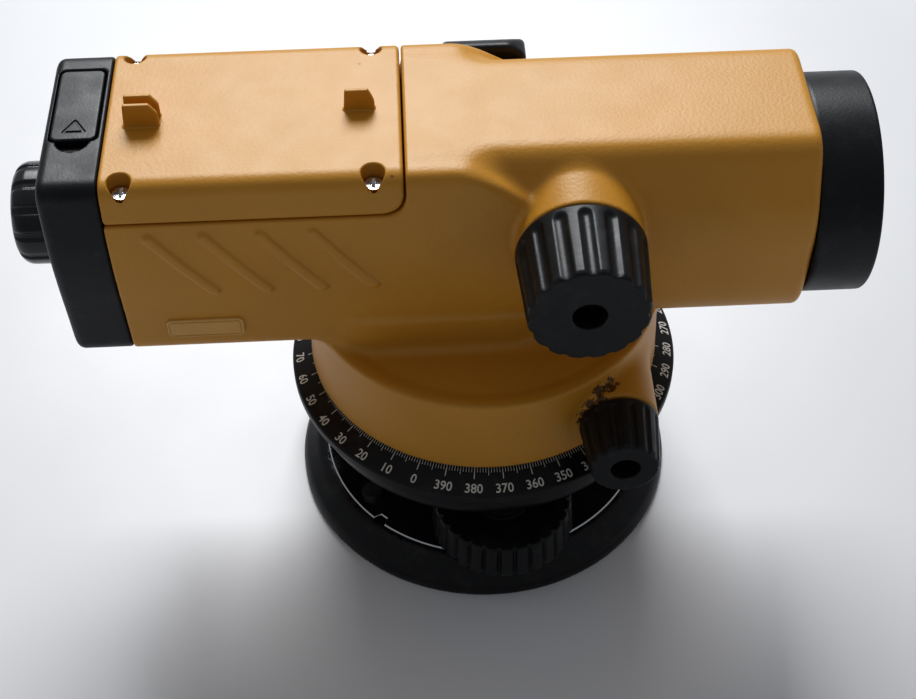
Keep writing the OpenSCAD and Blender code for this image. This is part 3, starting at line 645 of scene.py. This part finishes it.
# ---------------------------------------------------------------- rear cap, its lid and the label frame

def round_corners(dx, dy, corner):
    """Distance outside a rectangle with round corners. dx and dy are distances past its straight parts."""
    return np.hypot(np.maximum(dx, 0), np.maximum(dy, 0)) + np.minimum(np.maximum(dx, dy), 0) - corner


def lid_outline(x, y, grow):
    """Distance outside the lid seen from above, made larger by grow."""
    corner = 1.8
    half = (lid_high - lid_low) / 2 - corner + grow
    middle = (lid_high + lid_low) / 2
    return round_corners(np.abs(x - middle[0]) - half[0], np.abs(y - middle[1]) - half[1], corner)


def cap_field(x, y, z):
    h = z - AXIS_Z
    skin = rear_section(y, h) + 0.15
    shell = smax(smax(skin, cap_low[0] - x, 2.6), x - REAR_X + 0.12, 0.8)
    inside = box_field(x, y, z, (-103.5, -20, 79.5), (-85, 20, 126), 1)
    tube = np.hypot(y, h)
    shell = smax(shell, -np.maximum(inside, 14 - tube), 0.5)
    shell = smax(shell, -(tube - 11), 0.5)
    well = np.maximum(lid_outline(x, y, 0.35), TOP_Z - 2.8 - z)
    opening = np.maximum(lid_outline(x, y, -2), 124 - z)
    notch = np.maximum(np.hypot(x + 99, y - lid_low[1]) - 4, TOP_Z - 2.2 - z)
    notch = np.minimum(notch, np.maximum(well, opening))
    shell = smax(shell, -np.minimum(well, notch), 0.5)
    return smax(shell, -opening, 0.4)


cap = moulded("rear_cap_moulding", cap_field, cap_low, cap_high, 0.6, black_satin)
finish_piece(cap, "alidade", "black_plastic", "rear_cap")


def triangle_outline(x, y, centre, size, width):
    """Distance to the outline of a triangle that points along +Y."""
    corners = [(-0.87 * size, -0.5 * size), (0.87 * size, -0.5 * size), (0, 0.9 * size)]
    nearest = np.inf
    for (ax, ay), (bx, by) in zip(corners, corners[1:] + corners[:1]):
        px, py = x - centre[0] - ax, y - centre[1] - ay
        dx, dy = bx - ax, by - ay
        t = np.clip((px * dx + py * dy) / (dx * dx + dy * dy), 0, 1)
        nearest = np.minimum(nearest, np.hypot(px - t * dx, py - t * dy))
    return nearest - width


def lid_field(x, y, z):
    lid = smax(lid_outline(x, y, 0), slab(z, TOP_Z - 2.4, TOP_Z - 0.05), 0.7)
    groove = np.maximum(triangle_outline(x, y, (-99, -3.6), 2.9, 0.28), TOP_Z - 0.4 - z)
    return smax(lid, -groove, 0.25)


lid = moulded("reticle_cover_moulding", lid_field, lid_low, lid_high, 0.3, black_satin)
finish_piece(lid, "reticle_lid", "black_plastic", "reticle_cover")


def label_frame():
    """A blank raised plaque with a fine line inside its edge, lying on the side wall."""
    tilt = math.radians(4.7)
    centre = np.array([-72, -25.25, 85.1])

    def field(x, y, z):
        u = x - centre[0]
        v = (z - centre[2]) * math.cos(tilt) - (y - centre[1]) * math.sin(tilt)
        w = (y - centre[1]) * math.cos(tilt) + (z - centre[2]) * math.sin(tilt)
        outline = round_corners(np.abs(u) - 8.3, np.abs(v) - 1.9, 1.5)
        panel = smax(outline, slab(w, -0.75, 0.35), 0.5)
        groove = np.maximum(np.abs(outline + 0.8) - 0.2, w + 0.55)
        return smax(panel, -groove, 0.2)

    return moulded("label_frame", field, label_low, label_high, 0.25, label_gold)


finish_piece(label_frame(), "alidade", "yellow_shell", "label_plate")


# ---------------------------------------------------------------- objective hood and lens

def objective_hood():
    back, front = hood_low[0], hood_high[0]
    profile = rounded([
        (21, back, 0.3), (HOOD_R - 0.4, back, 0.5), (HOOD_R, back + 0.9, 0.5), (HOOD_R, front, 1.3),
        (HOOD_R - 2.0, front, 0.6), (HOOD_R - 2.7, front - 0.8, 0.5), (HOOD_R - 3.2, back + 3, 0.6),
        (21, back + 3, 0.3),
    ])
    return lathe("objective_hood_moulding", profile, "x", (0, 0, AXIS_Z), black_satin, 192)


finish_piece(objective_hood(), "alidade", "black_plastic", "objective_hood")


def objective_lens():
    """A doublet with a curved front."""
    low, high = node_box("objective_lens")
    radius = (high[1] - low[1]) / 2
    profile = [(0.05, low[0]), (radius, low[0] + 0.8), (radius, high[0] - 2.6)]
    for s in range(1, 15):
        r = radius * (1 - s / 14)
        profile.append((max(r, 0.05), high[0] - 2.6 * (r / radius) ** 2))
    return lathe("objective_lens_glass", profile, "x", (0, 0, AXIS_Z), optical, 96)


finish_piece(objective_lens(), "alidade", "optical_glass", "objective_lens")


# ---------------------------------------------------------------- knobs

# flute_r, lift and lead are the radius of the rod that cuts a flute, the height of its axis over the wall,
# and how far from the back the flute starts.
FOCUS_KNOB = {"back_r": 16.1, "front_r": 14.7, "count": 16, "flute_r": 2.06, "lift": 1.16, "lead": 1.8,
              "hole_r": 4.1}
FINE_KNOB = {"back_r": 10.4, "front_r": 8.9, "count": 14, "flute_r": 1.35, "lift": 0.85, "lead": 1.4,
             "hole_r": 3.8}
KNOB_HOLE = 7
KNOB_BORE_R = 2.6


def flute_carve(count, start, end, back_r, front_r, flute_r, lift, lead, face_sign):
    """Carves flutes that have a round end near the back and are open at the face."""
    step = 2 * math.pi / count

    def carve(turn, position, r):
        along = (position - start) * face_sign
        wall = back_r + (front_r - back_r) * np.clip(along / abs(end - start), 0, 1)
        if r[0] < wall - 2.2:
            return r
        off = (turn / step + 0.5) % 1 - 0.5
        across = off * step * wall
        before = np.maximum(0, lead + math.sqrt(flute_r ** 2 - lift ** 2) - along)
        reach = flute_r ** 2 - across ** 2 - before ** 2
        depth = np.sqrt(np.maximum(reach, 0)) - lift
        soft = 0.12
        depth = soft * np.log1p(np.exp(np.clip(depth / soft, -30, 30)))
        return np.minimum(r, wall + 0.02 - depth + (r - wall) * 0.3)

    return carve


def fluted_knob(name, centre, back, face, back_r, front_r, count, flute_r, lift, lead, hole_r):
    """A knob on the Y axis with its hole in the face."""
    sign = 1 if face > back else -1
    length = abs(face - back)

    def at(distance):
        return back + sign * distance

    rim = 1.0
    profile = rounded([(KNOB_BORE_R, at(0), 0), (back_r - 0.5, at(0), 0.4)])
    for t in np.linspace(0.03, 1 - rim / length, 48):
        profile.append(np.array([back_r + (front_r - back_r) * t, at(length * t)]))
    for angle in np.linspace(0.15, math.pi / 2, 8):
        across, along = rim * math.cos(angle), rim * math.sin(angle)
        profile.append(np.array([front_r - rim + across, at(length - rim + along)]))
    profile += rounded([
        (front_r - 3, at(length), 0), (hole_r, at(length), 0.45), (hole_r, at(length - KNOB_HOLE), 0.3),
        (0.05, at(length - KNOB_HOLE), 0), (0.05, at(length - KNOB_HOLE - 1), 0),
        (KNOB_BORE_R, at(length - KNOB_HOLE - 1), 0),
    ])
    carve = flute_carve(count, back, face, back_r, front_r, flute_r, lift, lead, sign)
    return lathe(name, profile, "y", (centre[0], 0, centre[1]), black_knob, count * 18, carve)


focus_knob = fluted_knob("focus_knob_moulding", (FOCUS_X, FOCUS_Z), focus_high[1], focus_low[1],
                         **FOCUS_KNOB)
finish_piece(focus_knob, "focus_drive", "knob_plastic", "focus_knob")

fine_low, fine_high = node_box("fine_knob_near")
for node, side in (("fine_knob_near", 1), ("fine_knob_far", -1)):
    knob = fluted_knob(f"{node}_moulding", (FINE_X, FINE_Z), side * fine_high[1], side * fine_low[1],
                       **FINE_KNOB)
    finish_piece(knob, "fine_drive", "knob_plastic", node)


def foot_knob(number):
    """A ribbed disc with a sunk ring in its top."""
    bottom, top = 12.5, 24.0
    bore_r, outer_r, taper, rim = 3.1, 20, 0.9, 0.9
    ribs = 28
    profile = rounded([(bore_r, bottom, 0), (outer_r - 0.6, bottom, 0.5)])
    for t in np.linspace(0.1, 0.9, 18):
        profile.append(np.array([outer_r - taper * t, bottom + (top - bottom) * t]))
    for t in np.linspace(0, 1, 7):
        angle = t * math.pi / 2
        radius = outer_r - taper - rim + rim * math.cos(angle)
        profile.append(np.array([radius, top - rim + rim * math.sin(angle)]))
    profile += rounded([
        (14.7, top, 0.3), (14.3, top - 1.2, 0.4), (7.3, top - 1.2, 0.4), (7.0, top + 1, 0.3),
        (bore_r, top + 1, 0),
    ])

    def carve(turn, position, r):
        if r[0] < 17.5:
            return r
        off = (turn * ribs / (2 * math.pi)) % 1
        groove = np.exp(-((off - 0.5) / 0.13) ** 4) * 0.95
        fade = np.clip((r[0] - 17.5) / 1.2, 0, 1)
        return r - groove * fade

    centre = (*foot_place(number - 1), 0)
    return lathe(f"foot_knob_{number}_moulding", profile, "z", centre, black_knob, ribs * 14, carve)


for number in (1, 2, 3):
    finish_piece(foot_knob(number), f"foot_{number}", "knob_plastic", f"foot_knob_{number}")


def eyepiece_knob():
    low, high = node_box("eyepiece_knob")
    radius = 13.2
    grooves = 12

    def at(distance):
        return low[0] + distance

    length = high[0] - low[0]
    profile = rounded([(9.1, high[0], 0.2), (radius - 0.6, high[0], 0.4)])
    profile += [np.array([radius, at(length - 0.8 - (length - 4.6) * t)]) for t in np.linspace(0, 1, 18)]
    for t in np.linspace(0.05, 1, 9):
        angle = t * math.pi / 2
        profile.append(np.array([radius - 3.6 + 3.6 * math.cos(angle), at(3.8 - 3.8 * math.sin(angle))]))
    profile += rounded([(7.0, at(0), 0.5), (6.2, at(0.8), 0.3), (6.0, at(2.4), 0.2), (9.1, at(2.6), 0.2)])

    def carve(turn, position, r):
        if r[0] < radius - 2.4:
            return r
        off = (turn * grooves / (2 * math.pi)) % 1
        groove = np.exp(-((off - 0.5) / 0.16) ** 6) * 0.55
        return r - groove * np.clip((r[0] - radius + 2.4) / 1.6, 0, 1)

    return lathe("eyepiece_knob_moulding", profile, "x", (0, 0, AXIS_Z), black_gloss, grooves * 32, carve)


finish_piece(eyepiece_knob(), "eyepiece_ring", "knob_plastic", "eyepiece_knob")


# ---------------------------------------------------------------- graduated circle

GON = 0.9
FACE_SLOPE = 0.404
FACE_R = RING_R - 0.5
FACE_Z = 46.0
GON_START = -113.94


def face_point(radius, azimuth, lift):
    """A point over the sloping face of the circle."""
    slope = math.atan(FACE_SLOPE)
    r = radius + lift * math.sin(slope)
    z = FACE_Z + (FACE_R - radius) * FACE_SLOPE + lift * math.cos(slope)
    return (r * math.cos(azimuth), r * math.sin(azimuth), z)


def circle_body():
    profile = rounded([
        (14.05, 42.2, 0.2), (40, 42.2, 0), (44, 42.6, 0), (RING_R - 0.5, 42.6, 0.3), (RING_R, 43.2, 0.4),
        (RING_R, 45.5, 0.6), (FACE_R, FACE_Z, 0.3), (SKIRT_R, 48.1, 0), (44, 49.8, 0.3), (43, 49.8, 0.3),
        (42, 45, 0.3), (17, 45, 0.3), (17, 50, 0.3), (14.05, 50, 0.2),
    ])
    return lathe("graduated_circle", profile, "z", (0, 0, 0), ring_black, 256)


finish_piece(circle_body(), "circle", "circle_plastic", "horizontal_circle")


def graduations():
    """One line each gon, longer each 5 and 10."""
    vertices, faces = [], []
    for gon in range(400):
        azimuth = math.radians(GON_START - GON * gon)
        outer = 49.4 if gon % 10 == 0 else 48.4 if gon % 5 == 0 else 47.7
        half = 0.13 if gon % 10 == 0 else 0.10
        first = len(vertices)
        for lift in (-0.1, 0.05):
            for radius, side in ((45, -1), (outer, -1), (outer, 1), (45, 1)):
                vertices.append(face_point(radius, azimuth + side * half / radius, lift))
        low, high = range(first, first + 4), range(first + 4, first + 8)
        faces.append(tuple(high))
        faces.append(tuple(reversed(low)))
        for i in range(4):
            j = (i + 1) % 4
            faces.append((low[i], low[j], high[j], high[i]))
    piece = new_object("circle_graduations", vertices, faces, white_ink)
    flat_faces(piece)
    return piece


finish_piece(graduations(), "circle", "circle_plastic")


def circle_numbers():
    """A number each 10 gon, read from outside the circle."""
    height = 2.25
    font_height = 0.69
    middle_r = 51.75
    vertices, faces = [], []
    for gon in range(0, 400, 10):
        curve = bpy.data.curves.new(f"number_{gon}", "FONT")
        curve.body = str(gon)
        curve.size = height / font_height
        curve.align_x = "CENTER"
        curve.extrude = 0.08
        curve.offset = 0.05
        curve.resolution_u = 3
        holder = bpy.data.objects.new(f"number_{gon}", curve)
        bpy.context.scene.collection.objects.link(holder)
        bpy.context.view_layer.update()
        mesh = bpy.data.meshes.new_from_object(holder)
        first = len(vertices)
        azimuth = math.radians(GON_START - GON * gon)
        for v in mesh.vertices:
            radius = middle_r + height / 2 - v.co.y
            vertices.append(face_point(radius, azimuth + v.co.x / middle_r, v.co.z - 0.02))
        faces += [tuple(first + i for i in p.vertices) for p in mesh.polygons]
        bpy.data.objects.remove(holder)
        bpy.data.meshes.remove(mesh)
        bpy.data.curves.remove(curve)
    piece = new_object("circle_numbers", vertices, faces, white_ink)
    flat_faces(piece)
    return piece


finish_piece(circle_numbers(), "circle", "circle_plastic")


# ---------------------------------------------------------------- base and tribrach

def spring_plate():
    """A thin sprung disc with a small notch and a bright cut edge."""
    radius = plate_high[0]
    low, high = plate_low[2], plate_high[2]
    notch_at, notch_depth, notch_half = math.radians(-133), 2.2, 2.0
    profile = rounded([
        (15, low, 0.1), (radius, low, 0.1), (radius, high - 0.3, 0.05), (radius - 0.35, high, 0.05),
        (15, high, 0.1),
    ], 2)

    def carve(turn, position, r):
        off = (turn - notch_at + math.pi) % (2 * math.pi) - math.pi
        across = off * radius
        depth = notch_depth * np.clip((notch_half - np.abs(across)) / 0.7, 0, 1)
        return np.where(r > radius - 1, r - depth, r)

    return lathe("spring_plate_disc", profile, "z", (0, 0, 0), spring_steel, 720, carve)


plate_top = surface("spring_plate_black", (0.012, 0.012, 0.014), 0.16, mottle=0.2, mottle_scale=40, dust=0.04)
spring = spring_plate()
spring.data.materials.append(plate_top)
for polygon in spring.data.polygons:
    if polygon.normal.z > 0.95:
        polygon.material_index = 1
finish_piece(spring, "base", "spring_steel", "spring_plate")


def base_field(x, y, z):
    """A shallow dish with sockets for the foot screws and holes for the screws of the spring plate."""
    r = np.hypot(x, y)
    radius = base_high[0]
    rim = smax(r - radius, smax((z - 4.7) * 0.707 + (r - radius + 1) * 0.707, z - 9.95, 2.0), 1.5)
    rim = smax(rim, -z, 0.8)
    recess = np.maximum(r - 46.7, 9.6 - z)
    body = smax(rim, -recess, 0.2)
    body = np.maximum(body, 12 - r)
    hole_at = 41
    for i in range(3):
        foot_x, foot_y = foot_place(i)
        socket = np.hypot(x - foot_x, y - foot_y) - 4.9
        body = np.maximum(body, -np.maximum(socket, 1.8 - z))
        angle = math.radians(FOOT_AZIMUTH + 60 + 120 * i)
        hole = np.hypot(x - hole_at * math.cos(angle), y - hole_at * math.sin(angle)) - 1.5
        body = np.maximum(body, -np.maximum(hole, 3 - z))
    return body


base = moulded("base_plate_casting", base_field, base_low, base_high, 0.9, black_metal)
finish_piece(base, "base", "black_metal", "base_plate")


def tribrach_field(x, y, z):
    """A round plate with a boss round each foot screw and a hub in the middle."""
    r = np.hypot(x, y)
    plate = smax(smax(r - 51, slab(z, 33, 41.5), 1.2), (r - 49.6) * 0.9 - (z - 33) * 0.42, 1)
    under = np.maximum(r - 46.5, z - 37.5)
    feet, hollow = np.inf, np.inf
    for i in range(3):
        foot_x, foot_y = foot_place(i)
        around = np.hypot(x - foot_x, y - foot_y)
        feet = np.minimum(feet, smax(around - 9, slab(z, 27.5, 38), 1))
        hollow = np.minimum(hollow, np.maximum(around - 5, z - 40.5))
    body = smax(plate, -under, 1.2)
    body = smin(body, feet, 2)
    hub = smax(r - 14, slab(z, 33, 66), 0.8)
    body = smin(body, hub, 1.5)
    body = np.maximum(body, -np.maximum(r - 9, -z))
    return np.maximum(body, -hollow)


tribrach = moulded("tribrach_casting", tribrach_field, tribrach_low, tribrach_high, 0.9, black_metal)
finish_piece(tribrach, "tribrach", "black_metal", "tribrach_plate")


# ---------------------------------------------------------------- circular vial and its hood

def vial_hood_field(x, y, z):
    """A thin cover with a sloping outer face, open below and towards the eyepiece."""
    low, high = vial_hood_low, vial_hood_high
    slope = smax((z - 119.5) * 0.78 + (y - 43) * 0.62, (z - 114) * 0.588 + (y - 47) * 0.809, 2)
    shell = smax(slab(y, low[1], high[1]), slab(z, low[2], high[2]), 2)
    shell = smax(smax(shell, slope, 2), slab(x, low[0], high[0]), 1.6)
    shell = smax(shell, (x - high[0] + 4) * 0.669 + (z - high[2]) * 0.743, 1.2)
    inside = smax(slab(y, low[1] + 1.6, high[1] - 1.6), z - 119, 1)
    inside = smax(inside, (z - 118.4) * 0.78 + (y - 42) * 0.62, 1)
    return smax(shell, -np.maximum(inside, x - high[0] + 1.6), 0.6)


vial_hood = moulded("vial_hood_moulding", vial_hood_field, vial_hood_low, vial_hood_high, 0.5, black_satin)
finish_piece(vial_hood, "alidade", "black_plastic", "vial_hood")


# ---------------------------------------------------------------- floor, light and camera

FLOOR_HALF = 3000
ROOM_LIGHT = (0.20, 0.32)
TOWARDS_WINDOW = (0, 0.77, 0.64)
CAMERA_PLACE = (-0.0178, -0.312, 0.3902)
CAMERA_ANGLES = (42.057, 0.636, -2.665)


def stage_floor():
    white = surface("table_white", (0.74, 0.74, 0.75), 0.36, mottle=0.02, mottle_scale=8, rough_spread=0.03)
    corners = [(FLOOR_HALF * a, FLOOR_HALF * b, 0) for a, b in ((-1, -1), (1, -1), (1, 1), (-1, 1))]
    floor = new_object("table_top", corners, [(0, 1, 2, 3)], white)


def area_light(name, place, target, size, power, colour):
    data = bpy.data.lights.new(name, "AREA")
    data.shape = "RECTANGLE"
    data.size, data.size_y = size
    data.energy = power
    data.color = colour
    light = bpy.data.objects.new(name, data)
    bpy.context.scene.collection.objects.link(light)
    light.location = place
    light.rotation_mode = "QUATERNION"
    light.rotation_quaternion = (Vector(target) - Vector(place)).to_track_quat("-Z", "Y")


def stage_world():
    """A room that is dark behind the camera and bright towards the window."""
    world = bpy.data.worlds.new("soft_room")
    world.use_nodes = True
    tree = world.node_tree
    coords = add_node(tree, "ShaderNodeTexCoord").outputs["Generated"]
    towards = add_node(tree, "ShaderNodeVectorMath", operation="DOT_PRODUCT")
    towards.inputs[1].default_value = TOWARDS_WINDOW
    tree.links.new(coords, towards.inputs[0])
    brightness = spread(tree, towards.outputs["Value"], -0.6, 0.9, *ROOM_LIGHT)
    background = tree.nodes["Background"]
    background.inputs["Color"].default_value = (0.92, 0.95, 1.0, 1)
    tree.links.new(brightness, background.inputs["Strength"])
    bpy.context.scene.world = world
    bpy.context.scene.view_settings.view_transform = "Standard"
    bpy.context.scene.view_settings.look = "Medium High Contrast"


stage_floor()
stage_world()
area_light("window", (-0.05, 1.35, 1.45), (0, 0, 0.1), (1.0, 0.9), 31, (0.96, 0.98, 1.0))

camera_data = bpy.data.cameras.new("camera")
camera_data.lens = 64.4
camera_data.sensor_width = 36
camera_data.clip_start = 0.01
camera = bpy.data.objects.new("camera", camera_data)
bpy.context.scene.collection.objects.link(camera)
camera.location = CAMERA_PLACE
camera.rotation_euler = [math.radians(angle) for angle in CAMERA_ANGLES]
bpy.context.scene.camera = camera
